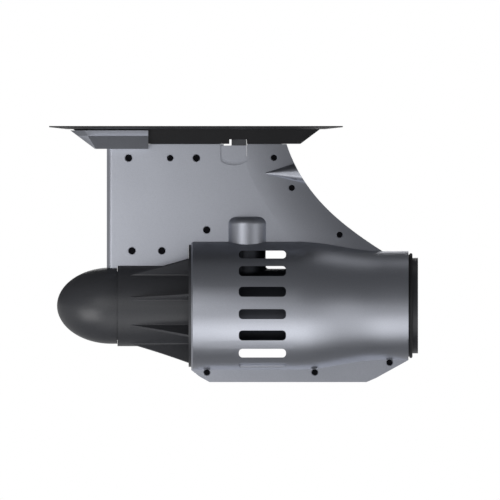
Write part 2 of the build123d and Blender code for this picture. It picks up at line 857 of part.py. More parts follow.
def guard_vane():
    """One vane: a brow that rises aft in the side view and a foot flared on to the hub."""
    root = guard_hub_radius - guard_vane_sink
    tip = bore_radius - joint_gap - guard_vane_inset
    half_thickness = guard_vane_thickness / 2
    foot = half_thickness + guard_vane_fillet
    middle = ((guard_vane_front + guard_ring_front) / 2, (guard_hub_radius + tip) / 2 - guard_vane_sag)
    brow = ThreePointArc((guard_vane_front, root), middle, (guard_ring_front, tip))
    rest = Polyline((guard_ring_front, tip), (guard_ring_rear, tip), (guard_ring_rear, root),
                    (guard_vane_front, root))
    profile = extrude(face_on(shaft_side, brow, rest), amount=foot, both=True)
    seat = guard_hub_radius - joint_gap
    across = Plane(origin=(guard_vane_front, 0, axis_z), x_dir=(0, 1, 0), z_dir=(1, 0, 0))
    flare_left = CenterArc((-foot, seat + guard_vane_fillet), guard_vane_fillet, 270, 90)
    flare_right = CenterArc((foot, seat + guard_vane_fillet), guard_vane_fillet, 180, 90)
    upper = Polyline((-half_thickness, seat + guard_vane_fillet), (-half_thickness, tip),
                     (half_thickness, tip), (half_thickness, seat + guard_vane_fillet))
    lower = Polyline((foot, seat), (foot, root), (-foot, root), (-foot, seat))
    section = face_on(across, flare_left, upper, flare_right, lower)
    return profile & extrude(section, amount=guard_ring_rear - guard_vane_front, dir=(1, 0, 0))


def intake_guard():
    """The hub sleeve, the vanes and the ring that plugs into the duct."""
    hub = ring(guard_hub_front, guard_hub_rear, guard_hub_radius, can_radius + joint_gap)
    hub = chamfer(hub.edges().group_by(Axis.X)[-1].sort_by(SortBy.RADIUS)[-1], guard_hub_chamfer)
    ring_outer = bore_radius - joint_gap
    guard = hub + ring(guard_ring_front, guard_ring_rear, ring_outer, ring_outer - guard_ring_wall)
    vane = guard_vane()
    for index in range(guard_vane_count):
        guard += about_shaft(vane, (index + 1) * guard_vane_pitch)
    return guard


# Pump

def drive_shaft():
    """The shaft: full size through the motor, stepped for the impeller and again for the nut."""
    shaft = rod(cap_rear - bearing_width, shaft_shoulder, shaft_radius)
    shaft += rod(impeller_front, nut_front, impeller_bore)
    shaft += rod(impeller_front, thread_end, thread_radius)
    return shaft - pin_bar(joint_gap)


def pin_bar(grow):
    """The drive pin across the shaft."""
    bar = Cylinder(pin_radius + grow / 2, 2 * (pin_half_length + grow))
    return Pos(pin_x, 0, axis_z) * bar


def impeller():
    """A mixed-flow impeller: helical blades on a tapering hub, trimmed to the duct's bore."""
    belly = Spline((impeller_front, impeller_hub_front), (impeller_rear, impeller_hub_rear),
                   tangents=((1, 0), (1, -0.35)))
    close = Polyline((impeller_rear, impeller_hub_rear), (impeller_rear, 0), (impeller_front, 0),
                     (impeller_front, impeller_hub_front))
    wheel = turned(belly, close)
    envelope = duct_core(duct_wall + tip_gap)
    stations = (impeller_root_section, impeller_middle_section, duct_radius)
    vane = loft([impeller_section(radius) for radius in stations]) & envelope
    for index in range(impeller_blades):
        wheel += about_shaft(vane, index * 360 / impeller_blades)
    wheel -= rod(impeller_front - 1, impeller_rear + 1, impeller_bore + joint_gap)
    wheel -= rod(impeller_front - 1, shaft_shoulder, shaft_radius + joint_gap)
    wheel -= rod(nut_front, impeller_rear + 1, nut_flats / 3 ** 0.5 + nut_room)
    wheel -= ring(impeller_front - 1, nut_front - impeller_web, impeller_hub_front - impeller_rim,
                  hub_core_radius)
    return wheel - pin_bar(joint_gap)


def impeller_section(radius):
    """A blade section at a radius, leaning by the helix angle of the pitch."""
    lean = atan2(impeller_pitch, 2 * pi * radius)
    chord = impeller_blade_length / sin(lean)
    middle = (impeller_front + impeller_rear) / 2
    plane = Plane(origin=(middle, 0, axis_z + radius), x_dir=(sin(lean), cos(lean), 0), z_dir=(0, 0, 1))
    return plane * Ellipse(chord / 2, impeller_blade_thickness / 2)


def impeller_nut():
    hexagon = Plane(origin=(nut_front, 0, axis_z), z_dir=(1, 0, 0)) * RegularPolygon(
        nut_flats / 2, 6, major_radius=False)
    return extrude(hexagon, amount=nut_length) - rod(nut_front - 1, impeller_rear + 1, thread_radius)


def diffuser():
    """Straightening vanes between the tail cone's hub and a ring in the duct's bore."""
    belly = Spline((diffuser_front, diffuser_hub), (diffuser_tip, diffuser_tip_radius),
                   tangents=((1, -0.02), (0.75, -1)))
    close = Polyline((diffuser_tip, diffuser_tip_radius), (diffuser_tip, 0), (diffuser_front, 0),
                     (diffuser_front, diffuser_hub))
    body = turned(belly, close)
    envelope = duct_core(duct_wall + joint_gap)
    length = diffuser_ring_rear - diffuser_vane_front
    middle = (diffuser_ring_rear + diffuser_vane_front) / 2
    vane = Pos(middle, 0, axis_z + duct_radius / 2) * Box(length, diffuser_vane_thickness, duct_radius)
    for index in range(diffuser_vanes):
        body += about_shaft(vane & envelope, index * 360 / diffuser_vanes)
    outer = bore_end_radius - joint_gap
    body += ring(diffuser_ring_front, diffuser_ring_rear, outer, outer - diffuser_ring_wall)
    return body - rod(diffuser_front - 1, diffuser_front + diffuser_recess_depth, diffuser_recess_radius)


def nozzle_ring():
    """The outlet ring: a sleeve in the bore, a groove for the bead and a spigot behind."""
    sleeve = bore_end_radius - joint_gap
    groove = bead_radius - 2 * bead_section
    front = bead_x - bead_section
    outline = [(diffuser_ring_rear, sleeve - diffuser_ring_wall), (diffuser_ring_rear, sleeve),
               (duct_rear, sleeve), (duct_rear, nozzle_neck_radius), (front, nozzle_neck_radius),
               (front, groove), (nozzle_spigot_front, groove),
               (nozzle_spigot_front, nozzle_spigot_radius), (nozzle_rear, nozzle_spigot_radius),
               (nozzle_rear, nozzle_bore), (bead_x, nozzle_bore)]
    return turned_points(outline)


def nozzle_seal():
    return torus_on_shaft(bead_x, bead_radius, bead_section)


def save(name, shape):
    """Writes one node; a list of solids becomes one node of separate solids."""
    solids = shape if isinstance(shape, list) else [shape]
    bodies = [solid for item in solids for solid in item.solids()]
    export_step(Compound(children=bodies) if len(bodies) > 1 else bodies[0], f"parts/{name}.step")


os.makedirs("parts", exist_ok=True)
full_housing = housing()
save("fin_box", fin_box())
save("slide_rail", slide_rail())
save("nose_hood", nose_hood())
save("housing_left", half(full_housing, -1))
save("housing_right", half(full_housing, 1))
save("housing_screws_long", screws(long_screw_places, long_shank_radius, long_head_radius,
                                   long_insert_length))
save("housing_screws_short", screws(short_screw_places, short_shank_radius, short_head_radius,
                                    short_insert_length))
save("screw_inserts", screw_inserts())
save("latch_block", latch_block())
save("latch_pad_left", latch_pad(-1))
save("latch_pad_right", latch_pad(1))
save("latch_spring", latch_spring())
save("cable_gland", cable_gland())
save("lead_splice", lead_splice())
save("power_lead", power_lead())
save("motor_can", motor_can())
save("neck_seal", neck_seal())
save("front_cap", front_cap())
save("end_cap", end_cap())
save("front_bearing", bearing(cap_rear - bearing_width))
save("rear_bearing", bearing(can_rear - end_cap_spigot))
save("shaft_seal", shaft_seal())
save("cap_seal", torus_on_shaft(cap_seal_x, can_radius - can_wall, ring_seal_section))
save("stator_core", stator_core())
save("stator_windings", stator_windings())
save("rotor_core", rotor_core())
save("rotor_magnets", rotor_magnets())
save("control_board", control_board())
save("board_capacitors", board_capacitors())
save("nose_cone", nose_cone())
save("nose_seal", torus_on_shaft(nose_seal_x, can_radius - can_wall, ring_seal_section))
save("intake_guard", intake_guard())
save("drive_shaft", drive_shaft())
save("drive_pin", pin_bar(0))
save("impeller", impeller())
save("impeller_nut", impeller_nut())
save("diffuser", diffuser())
save("nozzle_ring", nozzle_ring())
save("nozzle_seal", nozzle_seal())
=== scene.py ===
"""Looks, light and camera for an electric power fin: a water jet on a blade under a paddle board."""

import math

import bmesh
import bpy
from bpy.props import FloatProperty, FloatVectorProperty, IntProperty, PointerProperty
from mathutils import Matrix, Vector


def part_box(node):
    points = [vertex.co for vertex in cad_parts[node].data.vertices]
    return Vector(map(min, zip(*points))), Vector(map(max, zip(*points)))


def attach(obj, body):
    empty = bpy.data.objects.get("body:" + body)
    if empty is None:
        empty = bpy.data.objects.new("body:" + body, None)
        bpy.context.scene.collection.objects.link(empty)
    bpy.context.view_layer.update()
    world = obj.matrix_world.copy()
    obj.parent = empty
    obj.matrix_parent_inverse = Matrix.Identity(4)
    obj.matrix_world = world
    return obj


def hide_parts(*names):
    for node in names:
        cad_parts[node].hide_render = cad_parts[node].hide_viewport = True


bl_info = {
    "name": "Electric power fin",
    "version": (1, 0, 0),
    "blender": (4, 5, 0),
    "location": "3D View > Sidebar > Power fin",
    "description": "Finishes the packed power fin and sets its studio stage",
    "category": "Object",
}

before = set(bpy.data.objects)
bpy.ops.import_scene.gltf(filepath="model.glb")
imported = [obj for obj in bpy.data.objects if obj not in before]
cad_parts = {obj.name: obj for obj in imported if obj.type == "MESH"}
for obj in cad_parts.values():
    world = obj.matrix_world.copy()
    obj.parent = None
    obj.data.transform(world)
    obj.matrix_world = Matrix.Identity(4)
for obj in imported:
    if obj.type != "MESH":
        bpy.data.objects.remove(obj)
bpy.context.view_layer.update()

MM = 0.001

# The photograph's frame: half a metre wide, square on the port side
VIEW_WIDTH = 500 * MM
VIEW_CENTRE = (54 * MM, -124 * MM)

# The keel's lowest edge, where the floor is
FLOOR_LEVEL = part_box("housing_left")[0].z

# The width of one line of Blender's wave texture at scale 1, in metres
WAVE_LENGTH = 2 * math.pi / 20


def linear(code):
    """The linear colour of an sRGB hex code."""
    channels = [int(code[at:at + 2], 16) / 255 for at in (0, 2, 4)]
    curved = [c / 12.92 if c <= 0.04045 else ((c + 0.055) / 1.055) ** 2.4 for c in channels]
    return (*curved, 1.0)


def per_mm(size):
    """A texture's scale for a pattern whose features are that many millimetres wide."""
    return 1 / (size * MM)


def add(tree, kind, values=None, links=None, **options):
    """Adds one node: its own options, the values of its sockets and what feeds them."""
    node = tree.nodes.new(kind)
    for name, value in options.items():
        setattr(node, name, value)
    for socket, value in (values or {}).items():
        node.inputs[socket].default_value = value
    for socket, source in (links or {}).items():
        tree.links.new(source, node.inputs[socket])
    return node


def blank(name, **values):
    """A new material: its tree, its shader with set values, and the piece's own coordinates."""
    material = bpy.data.materials.new(name)
    material.use_nodes = True
    tree = material.node_tree
    tree.nodes.clear()
    sockets = {key.replace("_", " "): value for key, value in values.items()}
    shader = add(tree, "ShaderNodeBsdfPrincipled", sockets)
    add(tree, "ShaderNodeOutputMaterial", links={"Surface": shader.outputs["BSDF"]})
    return material, tree, shader, add(tree, "ShaderNodeTexCoord").outputs["Object"]


class PowerFinSettings(bpy.types.PropertyGroup):
    """Colours and sizes that someone who reuses the fin would change."""

    shell_colour: FloatVectorProperty(
        name="Shell colour", description="Paint of the blade, the duct and the hood",
        subtype="COLOR", size=4, min=0, max=1, default=linear("B4B7C0"))
    black_colour: FloatVectorProperty(
        name="Black colour", description="Moulded nylon of the nose, guard, diffuser and nozzle",
        subtype="COLOR", size=4, min=0, max=1, default=linear("46474B"))
    fin_box_colour: FloatVectorProperty(
        name="Fin box colour", description="Moulded plastic of the fin box",
        subtype="COLOR", size=4, min=0, max=1, default=linear("1A1A1D"))
    latch_colour: FloatVectorProperty(
        name="Latch colour", description="Moulded acetal of the latch",
        subtype="COLOR", size=4, min=0, max=1, default=linear("55565A"))
    flake_size: FloatProperty(
        name="Flake size", description="Width of the paint's mica flakes, in millimetres",
        default=1.1, min=0.2, max=5)
    socket_share: FloatProperty(
        name="Socket width", description="Hexagon socket's width as a share of the screw head",
        subtype="FACTOR", default=0.5, min=0.2, max=0.8)
    head_sides: IntProperty(
        name="Head sides", description="Sides of a screw head's round outline",
        default=32, min=12, max=96)
    floor_colour: FloatVectorProperty(
        name="Floor colour", description="Paper of the studio floor",
        subtype="COLOR", size=4, min=0, max=1, default=linear("F0F0EE"))


# Finishes

def shell_paint(settings):
    """Silver-grey metallic paint over moulded ABS: mica in a satin coat.

    The mica bends the light into one broad band that fades softly; its flakes are finer than
    a pixel, so they are drawn about a millimetre wide and faint.
    """
    material, tree, shader, place = blank("Silver-grey metallic paint on ABS", Metallic=0.9)
    flake = add(tree, "ShaderNodeTexNoise", {"Scale": per_mm(settings.flake_size), "Detail": 1.0},
                {"Vector": place})
    glint = add(tree, "ShaderNodeMapRange", {"To Min": 0.93, "To Max": 1.07}, {"Value": flake.outputs["Fac"]})
    shade = add(tree, "ShaderNodeHueSaturation", {"Color": settings.shell_colour},
                {"Value": glint.outputs["Result"]})
    cloud = add(tree, "ShaderNodeTexNoise", {"Scale": per_mm(35), "Detail": 2.0}, {"Vector": place})
    gloss = add(tree, "ShaderNodeMapRange", {"To Min": 0.34, "To Max": 0.40}, {"Value": cloud.outputs["Fac"]})
    peel = add(tree, "ShaderNodeTexNoise", {"Scale": per_mm(2.5), "Detail": 1.0}, {"Vector": place})
    relief = add(tree, "ShaderNodeBump", {"Strength": 0.05, "Distance": 0.05 * MM},
                 {"Height": peel.outputs["Fac"]})
    tree.links.new(shade.outputs["Color"], shader.inputs["Base Color"])
    tree.links.new(gloss.outputs["Result"], shader.inputs["Roughness"])
    tree.links.new(relief.outputs["Normal"], shader.inputs["Normal"])
    return material


def black_plastic(name, colour, ior, roughness):
    """Moulded black plastic: a fine mottle in the tone, and gloss in patches as the melt flowed."""
    material, tree, shader, place = blank(name, IOR=ior)
    fibre = add(tree, "ShaderNodeTexNoise", {"Scale": per_mm(1.5), "Detail": 3.0}, {"Vector": place})
    tone = add(tree, "ShaderNodeMapRange", {"To Min": 0.85, "To Max": 1.15}, {"Value": fibre.outputs["Fac"]})
    shade = add(tree, "ShaderNodeHueSaturation", {"Color": colour}, {"Value": tone.outputs["Result"]})
    flow = add(tree, "ShaderNodeTexNoise", {"Scale": per_mm(18), "Detail": 3.0}, {"Vector": place})
    gloss = add(tree, "ShaderNodeMapRange", {"To Min": roughness - 0.05, "To Max": roughness + 0.05},
                {"Value": flow.outputs["Fac"]})
    relief = add(tree, "ShaderNodeBump", {"Strength": 0.08, "Distance": 0.05 * MM},
                 {"Height": fibre.outputs["Fac"]})
    tree.links.new(shade.outputs["Color"], shader.inputs["Base Color"])
    tree.links.new(gloss.outputs["Result"], shader.inputs["Roughness"])
    tree.links.new(relief.outputs["Normal"], shader.inputs["Normal"])
    return material


def black_nylon(settings):
    """Glass-filled nylon: a resin-rich skin with broad, soft highlights."""
    return black_plastic("Glass-filled nylon, moulded black", settings.black_colour, 1.50, 0.38)


def fin_box_polyethylene(settings):
    """Polyethylene of the fin box, which glues to the board: deeper black and duller than the nylon."""
    return black_plastic("Polyethylene, moulded black", settings.fin_box_colour, 1.40, 0.55)


def pump_nylon():
    """Glass-filled nylon of the impeller: as the guard's, but worn satin by the water."""
    material, tree, shader, place = blank("Glass-filled nylon, water-worn", IOR=1.53)
    fibre = add(tree, "ShaderNodeTexNoise", {"Scale": per_mm(1.5), "Detail": 3.0}, {"Vector": place})
    tone = add(tree, "ShaderNodeMapRange", {"To Min": 0.8, "To Max": 1.25}, {"Value": fibre.outputs["Fac"]})
    shade = add(tree, "ShaderNodeHueSaturation", {"Color": linear("47484B")},
                {"Value": tone.outputs["Result"]})
    scour = add(tree, "ShaderNodeTexNoise", {"Scale": per_mm(9), "Detail": 4.0}, {"Vector": place})
    gloss = add(tree, "ShaderNodeMapRange", {"To Min": 0.45, "To Max": 0.65}, {"Value": scour.outputs["Fac"]})
    tree.links.new(shade.outputs["Color"], shader.inputs["Base Color"])
    tree.links.new(gloss.outputs["Result"], shader.inputs["Roughness"])
    return material


def latch_acetal(settings):
    """Acetal, moulded: an even, waxy dark grey, rubbed a little glossier in patches."""
    material, tree, shader, place = blank("Acetal, moulded dark grey", IOR=1.48)
    rub = add(tree, "ShaderNodeTexNoise", {"Scale": per_mm(7), "Detail": 3.0}, {"Vector": place})
    gloss = add(tree, "ShaderNodeMapRange", {"To Min": 0.32, "To Max": 0.48}, {"Value": rub.outputs["Fac"]})
    tone = add(tree, "ShaderNodeMapRange", {"To Min": 0.94, "To Max": 1.08}, {"Value": rub.outputs["Fac"]})
    shade = add(tree, "ShaderNodeHueSaturation", {"Color": settings.latch_colour},
                {"Value": tone.outputs["Result"]})
    tree.links.new(shade.outputs["Color"], shader.inputs["Base Color"])
    tree.links.new(gloss.outputs["Result"], shader.inputs["Roughness"])
    return material


def lined_metal(name, colour, roughness, line_size, axis, strength):
    """A metal with fine lines that run across an axis, as rolling, turning and stacking leave them."""
    material, tree, shader, place = blank(name, Metallic=1.0)
    line = add(tree, "ShaderNodeTexWave",
               {"Scale": WAVE_LENGTH * per_mm(line_size), "Distortion": 1.2,
                "Detail": 2.0, "Detail Scale": 2.0},
               {"Vector": place}, bands_direction=axis)
    swing = 0.4 * strength
    tone = add(tree, "ShaderNodeMapRange", {"To Min": 1 - swing, "To Max": 1 + swing},
               {"Value": line.outputs["Fac"]})
    shade = add(tree, "ShaderNodeHueSaturation", {"Color": linear(colour)}, {"Value": tone.outputs["Result"]})
    gloss = add(tree, "ShaderNodeMapRange", {"To Min": roughness - 0.02, "To Max": roughness + 0.02},
                {"Value": line.outputs["Fac"]})
    relief = add(tree, "ShaderNodeBump", {"Strength": strength, "Distance": 0.03 * MM},
                 {"Height": line.outputs["Fac"]})
    tree.links.new(shade.outputs["Color"], shader.inputs["Base Color"])
    tree.links.new(gloss.outputs["Result"], shader.inputs["Roughness"])
    tree.links.new(relief.outputs["Normal"], shader.inputs["Normal"])
    return material


def extruded_aluminium():
    """Clear anodised extrusion: pale, with die lines along the rail."""
    return lined_metal("Clear anodised aluminium, extruded", "C4C6CA", 0.38, 0.8, "Z", 0.15)


def hard_anodised_aluminium():
    """Hard anodised can: charcoal grey, satin, with faint lathe rings round the shaft's axis."""
    return lined_metal("Hard anodised aluminium, turned", "4A4C52", 0.48, 0.6, "X", 0.04)


def ground_stainless():
    """Ground stainless shaft: bright, with rings from the grinding wheel."""
    return lined_metal("Stainless steel, ground", "C3C3C6", 0.24, 0.5, "X", 0.08)


def bearing_steel():
    """Chrome steel rings: near mirror, with the finest grinding rings."""
    return lined_metal("Bearing steel, polished", "BCBDC2", 0.16, 0.4, "X", 0.04)


def spring_steel():
    """Drawn stainless wire: bright and slightly streaked along the coil."""
    return lined_metal("Spring steel, drawn", "B0B0B4", 0.28, 0.7, "Z", 0.10)


def laminated_steel():
    """Stacked electrical steel: half-millimetre sheets, drawn 1 mm thick so that the edges show."""
    return lined_metal("Electrical steel, laminated", "6C6C72", 0.48, 1.0, "X", 0.5)


def turned_brass():
    """Turned brass: warm yellow with tool rings."""
    return lined_metal("Brass, turned", "C9A557", 0.30, 0.5, "Y", 0.12)


def enamelled_copper():
    """Enamelled winding wire: turns of 0.8 mm wire, drawn 1.2 mm apart, under a glossy varnish."""
    material = lined_metal("Enamelled copper wire, wound", "B5622E", 0.32, 1.2, "Z", 0.8)
    shader = material.node_tree.nodes["Principled BSDF"]
    shader.inputs["Coat Weight"].default_value = 0.6
    shader.inputs["Coat Roughness"].default_value = 0.15
    return material


def black_oxide_steel():
    """Black oxide screws: a nearly black, oiled skin with a dull sheen, so that the recesses read black."""
    return lined_metal("Steel, black oxide", "17171A", 0.42, 0.4, "Y", 0.08)


def nickel_plate():
    """Nickel plated magnets: warm silver and smooth, with a slight ripple from the plating bath."""
    material, tree, shader, place = blank("Nickel plate", Metallic=1.0, Base_Color=linear("C2BEB4"))
    ripple = add(tree, "ShaderNodeTexNoise", {"Scale": per_mm(3), "Detail": 2.0}, {"Vector": place})
    gloss = add(tree, "ShaderNodeMapRange", {"To Min": 0.14, "To Max": 0.24},
                {"Value": ripple.outputs["Fac"]})
    tree.links.new(gloss.outputs["Result"], shader.inputs["Roughness"])
    return material


def solder_mask():
    """Solder mask over glass epoxy: glossy green, with copper tracks 1 and 2 mm apart showing through."""
    material, tree, shader, place = blank("Solder mask on glass epoxy", Roughness=0.3, IOR=1.5)
    track = add(tree, "ShaderNodeTexBrick", {"Scale": per_mm(4), "Mortar Size": 0.06,
                                             "Color1": linear("1C5A34"), "Color2": linear("206439"),
                                             "Mortar": linear("3C8050")},
                {"Vector": place})
    tree.links.new(track.outputs["Color"], shader.inputs["Base Color"])
    return material


def capacitor_sleeve():
    """Shrink sleeve on the capacitors: glossy dark blue film with a slight wrinkle."""
    material, tree, shader, place = blank("Shrink sleeve, glossy PVC", Base_Color=linear("1E2440"), IOR=1.53)
    wrinkle = add(tree, "ShaderNodeTexNoise", {"Scale": per_mm(4), "Detail": 2.0}, {"Vector": place})
    gloss = add(tree, "ShaderNodeMapRange", {"To Min": 0.2, "To Max": 0.32},
                {"Value": wrinkle.outputs["Fac"]})
    relief = add(tree, "ShaderNodeBump", {"Strength": 0.2, "Distance": 0.1 * MM},
                 {"Height": wrinkle.outputs["Fac"]})
    tree.links.new(gloss.outputs["Result"], shader.inputs["Roughness"])
    tree.links.new(relief.outputs["Normal"], shader.inputs["Normal"])
    return material


def moulded_rubber(name, colour, roughness):
    """Rubber: no shine to speak of, a dusty bloom in patches a few millimetres wide."""
    material, tree, shader, place = blank(name, IOR=1.52)
    bloom = add(tree, "ShaderNodeTexNoise", {"Scale": per_mm(5), "Detail": 4.0}, {"Vector": place})
    tone = add(tree, "ShaderNodeMapRange", {"To Min": 0.85, "To Max": 1.3}, {"Value": bloom.outputs["Fac"]})
    shade = add(tree, "ShaderNodeHueSaturation", {"Color": linear(colour)}, {"Value": tone.outputs["Result"]})
    gloss = add(tree, "ShaderNodeMapRange", {"To Min": roughness - 0.06, "To Max": roughness + 0.08},
                {"Value": bloom.outputs["Fac"]})
    tree.links.new(shade.outputs["Color"], shader.inputs["Base Color"])
    tree.links.new(gloss.outputs["Result"], shader.inputs["Roughness"])
    return material


def nitrile_seal():
    """Nitrile rubber of the seals and the gland."""
    return moulded_rubber("Nitrile rubber, moulded", "222224", 0.56)


def silicone_jacket():
    """Silicone jacket of the motor lead, a little smoother than the seals."""
    return moulded_rubber("Silicone rubber, extruded", "2A2A2C", 0.46)


# Pieces

# The chamfer and the socket's floor on a screw, as shares of the head's height
CHAMFER_SHARE = 0.18
SOCKET_FLOOR_SHARE = 0.45

# The shank and the heights of both heads, as shares of the head's radius
SHANK_SHARE = 0.55
LONG_SCREW_HEAD_SHARE = 0.63
SHORT_SCREW_HEAD_SHARE = 0.73

# Corners closer than this are one corner of a solid
WELD_DISTANCE = 0.001 * MM


def dress(material, *names):
    """Gives CAD nodes their finish in place of the plain one that they were packed with."""
    for name in names:
        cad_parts[name].material_slots[0].material = material


def solid_boxes(name):
    """The lowest and highest corner of each separate solid in a CAD node, from left to right."""
    copy = bmesh.new()
    copy.from_mesh(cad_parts[name].data)
    bmesh.ops.remove_doubles(copy, verts=copy.verts, dist=WELD_DISTANCE)
    waiting = set(copy.verts)
    boxes = []
    while waiting:
        island = {waiting.pop()}
        frontier = list(island)
        while frontier:
            vertex = frontier.pop()
            for edge in vertex.link_edges:
                other = edge.other_vert(vertex)
                if other in waiting:
                    waiting.remove(other)
                    island.add(other)
                    frontier.append(other)
        corners = [[pick(v.co[axis] for v in island) for axis in range(3)] for pick in (min, max)]
        boxes.append((Vector(corners[0]), Vector(corners[1])))
    copy.free()
    return sorted(boxes, key=lambda box: box[0].x)


def screw_tree():
    """Socket head screws on points: the points are the middles of the heads' outer faces."""
    tree = bpy.data.node_groups.new("Socket head screws", "GeometryNodeTree")
    interface = tree.interface
    interface.new_socket("Places", in_out="INPUT", socket_type="NodeSocketGeometry")
    for name in ("Head radius", "Head height", "Shank radius", "Shank length", "Socket radius"):
        interface.new_socket(name, in_out="INPUT", socket_type="NodeSocketFloat")
    interface.new_socket("Sides", in_out="INPUT", socket_type="NodeSocketInt")
    interface.new_socket("Material", in_out="INPUT", socket_type="NodeSocketMaterial")
    interface.new_socket("Screws", in_out="OUTPUT", socket_type="NodeSocketGeometry")
    given = add(tree, "NodeGroupInput").outputs

    rim = add(tree, "ShaderNodeMath", {1: CHAMFER_SHARE}, {0: given["Head height"]},
              operation="MULTIPLY").outputs[0]
    barrel_height = add(tree, "ShaderNodeMath", links={0: given["Head height"], 1: rim},
                        operation="SUBTRACT").outputs[0]
    crown_radius = add(tree, "ShaderNodeMath", links={0: given["Head radius"], 1: rim},
                       operation="SUBTRACT").outputs[0]
    crown = add(tree, "GeometryNodeMeshCone", links={
        "Vertices": given["Sides"], "Radius Top": crown_radius,
        "Radius Bottom": given["Head radius"], "Depth": rim})
    crown_rise = add(tree, "ShaderNodeCombineXYZ", links={"Z": barrel_height})
    barrel = add(tree, "GeometryNodeMeshCone", links={
        "Vertices": given["Sides"], "Radius Top": given["Head radius"],
        "Radius Bottom": given["Head radius"], "Depth": barrel_height})
    high_crown = add(tree, "GeometryNodeTransform", links={
        "Geometry": crown.outputs["Mesh"], "Translation": crown_rise.outputs["Vector"]})
    head = add(tree, "GeometryNodeMeshBoolean", links={"Mesh 2": barrel.outputs["Mesh"]}, operation="UNION")
    tree.links.new(high_crown.outputs["Geometry"], head.inputs["Mesh 2"])

    floor_rise = add(tree, "ShaderNodeMath", {1: SOCKET_FLOOR_SHARE}, {0: given["Head height"]},
                     operation="MULTIPLY")
    socket_lift = add(tree, "ShaderNodeCombineXYZ", links={"Z": floor_rise.outputs[0]})
    hexagon = add(tree, "GeometryNodeMeshCone", {"Vertices": 6},
                  {"Radius Top": given["Socket radius"], "Radius Bottom": given["Socket radius"],
                   "Depth": given["Head height"]})
    socket = add(tree, "GeometryNodeTransform", links={
        "Geometry": hexagon.outputs["Mesh"], "Translation": socket_lift.outputs["Vector"]})
    cut_head = add(tree, "GeometryNodeMeshBoolean", links={
        "Mesh 1": head.outputs["Mesh"], "Mesh 2": socket.outputs["Geometry"]},
        operation="DIFFERENCE")

    shank = add(tree, "GeometryNodeMeshCone", links={
        "Vertices": given["Sides"], "Radius Top": given["Shank radius"],
        "Radius Bottom": given["Shank radius"], "Depth": given["Shank length"]})
    shank_drop = add(tree, "ShaderNodeMath", {1: -1.0}, {0: given["Shank length"]}, operation="MULTIPLY")
    shank_shift = add(tree, "ShaderNodeCombineXYZ", links={"Z": shank_drop.outputs[0]})
    low_shank = add(tree, "GeometryNodeTransform", links={
        "Geometry": shank.outputs["Mesh"], "Translation": shank_shift.outputs["Vector"]})
    screw = add(tree, "GeometryNodeJoinGeometry", links={"Geometry": cut_head.outputs["Mesh"]})
    tree.links.new(low_shank.outputs["Geometry"], screw.inputs["Geometry"])

    head_drop = add(tree, "ShaderNodeMath", {1: -1.0}, {0: given["Head height"]}, operation="MULTIPLY")
    drop = add(tree, "ShaderNodeCombineXYZ", links={"Z": head_drop.outputs[0]})
    seated = add(tree, "GeometryNodeTransform", links={
        "Geometry": screw.outputs["Geometry"], "Translation": drop.outputs["Vector"]})
    faced = add(tree, "GeometryNodeTransform", {"Rotation": (math.pi / 2, 0, 0)},
                {"Geometry": seated.outputs["Geometry"]})
    placed = add(tree, "GeometryNodeInstanceOnPoints", links={
        "Points": given["Places"], "Instance": faced.outputs["Geometry"]})
    real = add(tree, "GeometryNodeRealizeInstances", links={"Geometry": placed.outputs["Instances"]})
    finished = add(tree, "GeometryNodeSetMaterial", links={
        "Geometry": real.outputs["Geometry"], "Material": given["Material"]})
    add(tree, "NodeGroupOutput", links={"Screws": finished.outputs["Geometry"]})
    return tree


def socket_ids(tree):
    """The identifier of each named input of a geometry tree."""
    return {item.name: item.identifier for item in tree.interface.items_tree if item.in_out == "INPUT"}


def grow(name, places, tree, values):
    """A plain mesh piece from a geometry tree: its points, its inputs, and the modifier gone."""
    points = bpy.data.meshes.new(name + "_places")
    points.from_pydata([tuple(place) for place in places], [], [])
    carrier = bpy.data.objects.new(name + "_carrier", points)
    bpy.context.scene.collection.objects.link(carrier)
    modifier = carrier.modifiers.new("Tree", "NODES")
    modifier.node_group = tree
    ids = socket_ids(tree)
    for label, value in values.items():
        modifier[ids[label]] = value
    evaluated = carrier.evaluated_get(bpy.context.evaluated_depsgraph_get())
    mesh = bpy.data.meshes.new_from_object(evaluated)
    mesh.name = name
    piece = bpy.data.objects.new(name, mesh)
    bpy.context.scene.collection.objects.link(piece)
    carrier.modifiers.remove(modifier)
    bpy.data.objects.remove(carrier)
    bpy.data.meshes.remove(points)
    return piece


def screw_set(node, head_share, settings, tree, material):
    """The screws of one CAD node, each where its solid is, with a chamfered head and a socket."""
    boxes = solid_boxes(node)
    low, high = boxes[0]
    head_radius = (high.z - low.z) / 2
    length = high.y - low.y
    head_height = head_share * head_radius
    places = [((a.x + b.x) / 2, a.y, (a.z + b.z) / 2) for a, b in boxes]
    piece = grow(node + "_detail", places, tree, {
        "Head radius": head_radius,
        "Head height": head_height,
        "Shank radius": SHANK_SHARE * head_radius,
        "Shank length": length - head_height,
        "Socket radius": settings.socket_share * head_radius,
        "Sides": settings.head_sides,
        "Material": material,
    })
    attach(piece, "fin")
    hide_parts(node)
    return piece


# Operators, one for each group of pieces

class FIN_OT_shell(bpy.types.Operator):
    """Paints the blade, the duct, the keel, the hood and the latch's pads"""
    bl_idname = "power_fin.shell"
    bl_label = "Paint the shell"

    def execute(self, context):
        dress(shell_paint(context.scene.power_fin), "housing_left", "housing_right", "nose_hood",
              "latch_pad_left", "latch_pad_right")
        return {"FINISHED"}


class FIN_OT_black_parts(bpy.types.Operator):
    """Finishes the fin box, nose, intake guard, diffuser and nozzle"""
    bl_idname = "power_fin.black_parts"
    bl_label = "Finish the black mouldings"

    def execute(self, context):
        settings = context.scene.power_fin
        dress(black_nylon(settings), "nose_cone", "intake_guard", "nozzle_ring", "diffuser")
        dress(fin_box_polyethylene(settings), "fin_box")
        return {"FINISHED"}


